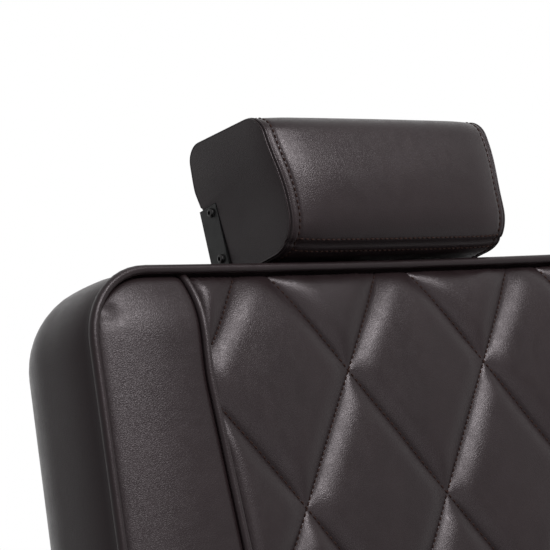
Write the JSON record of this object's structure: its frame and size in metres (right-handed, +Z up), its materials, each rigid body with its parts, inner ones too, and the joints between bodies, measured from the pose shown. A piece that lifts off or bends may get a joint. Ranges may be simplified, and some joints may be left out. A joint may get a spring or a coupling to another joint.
{
  "type": "barber chair",
  "caption": "Reclining barber chair with diamond-quilted brown cushions, sliding headrest, padded arms, flip-up foot plate and a pedal-pumped lift on a round floor base.",
  "frame": {"origin": "centre of the base's underside, on the floor", "axes": "+Z up along the lift column, -Y the way the sitter faces, +X to the side with the pump pedal and the release lever"},
  "size_m": [0.758, 1.1987, 1.1416],
  "materials": {
    "upholstery": "satin",
    "foam": "satin",
    "powder_coat": "satin",
    "chrome": "polished",
    "cast_iron": "matte",
    "rubber": "matte",
    "plywood": "matte",
    "blackened_steel": "satin"
  },
  "bodies": {
    "base": {"base_casting": "cast_iron", "base_dome": "powder_coat", "base_gasket": "rubber", "pump_jacket": "powder_coat", "pump_gland": "chrome", "pedal_pin": "blackened_steel"},
    "pedal": {"pedal_arm": "powder_coat", "pedal_pad": "rubber"},
    "lift": {"lift_piston": "cast_iron", "thrust_bearing": "chrome"},
    "seat": {"lift_ram": "chrome", "column_sleeve": "chrome", "seat_mount": "powder_coat", "rail_left": "powder_coat", "rail_right": "powder_coat", "front_crossmember": "powder_coat", "rear_crossmember": "powder_coat", "hinge_bolt_left": "blackened_steel", "hinge_bolt_right": "blackened_steel", "lock_cylinder": "powder_coat", "seat_board": "plywood", "seat_core": "foam", "seat_pad": "upholstery", "seat_welt": "upholstery", "seat_seam_welt_left": "upholstery", "seat_seam_welt_right": "upholstery", "arm_frame_left": "powder_coat", "arm_frame_right": "powder_coat", "arm_pad_left": "upholstery", "arm_pad_right": "upholstery", "foot_strut_left": "powder_coat", "foot_strut_right": "powder_coat", "foot_axle": "chrome", "calf_board": "plywood", "calf_pad": "upholstery"},
    "lock_rod": {"lock_rod": "chrome"},
    "release": {"release_lever": "powder_coat", "lever_grip": "rubber"},
    "foot": {"foot_plate": "powder_coat", "foot_tread": "rubber"},
    "backrest": {"hinge_arm_left": "powder_coat", "hinge_arm_right": "powder_coat", "back_crossbar": "powder_coat", "back_board": "plywood", "back_core": "foam", "back_pad": "upholstery", "back_welt": "upholstery", "back_seam_welt_left": "upholstery", "back_seam_welt_right": "upholstery", "back_cover": "upholstery", "headrest_socket": "powder_coat"},
    "headrest": {"headrest_post": "chrome", "headrest_bracket": "powder_coat", "headrest_batten": "plywood", "headrest_cushion": "upholstery", "headrest_screw_1": "blackened_steel", "headrest_screw_2": "blackened_steel", "headrest_screw_3": "blackened_steel", "headrest_screw_4": "blackened_steel"}
  },
  "joints": [
    {"name": "lift_slide", "type": "slide", "parent": "base", "child": "lift", "axis": [0, 0, 1], "range_m": [0, 0.16]},
    {"name": "seat_swivel", "type": "hinge", "parent": "lift", "child": "seat", "pos_m": [0, 0, 0.0857], "axis": [0, 0, 1], "continuous": true},
    {"name": "pedal_press", "type": "hinge", "parent": "base", "child": "pedal", "pos_m": [0.076, 0, 0.0803], "axis": [0, 1, 0], "range_deg": [0, 18], "stiffness_Nm_per_rad": 15, "springref_deg": -34.38},
    {"name": "back_recline", "type": "hinge", "parent": "seat", "child": "backrest", "pos_m": [0, 0.268, 0.4133], "axis": [-1, 0, 0], "range_deg": [0, 45]},
    {"name": "lock_stroke", "type": "slide", "parent": "seat", "child": "lock_rod", "axis": [0, -1, 0], "range_m": [0, 0.0582]},
    {"name": "release_pull", "type": "hinge", "parent": "seat", "child": "release", "pos_m": [0.2, 0.215, 0.3433], "axis": [1, 0, 0], "range_deg": [0, 15], "stiffness_Nm_per_rad": 1.5, "springref_deg": -34.38},
    {"name": "foot_flip", "type": "hinge", "parent": "seat", "child": "foot", "pos_m": [0, -0.482, 0.116], "axis": [-1, 0, 0], "range_deg": [0, 75]},
    {"name": "headrest_slide", "type": "slide", "parent": "backrest", "child": "headrest", "axis": [0, 0.342, 0.9397], "range_m": [0, 0.075]}
  ],
  "couplings": [
    {"joint": "lock_stroke", "follows": "back_recline", "m_per_rad": 0.073835}
  ]
}
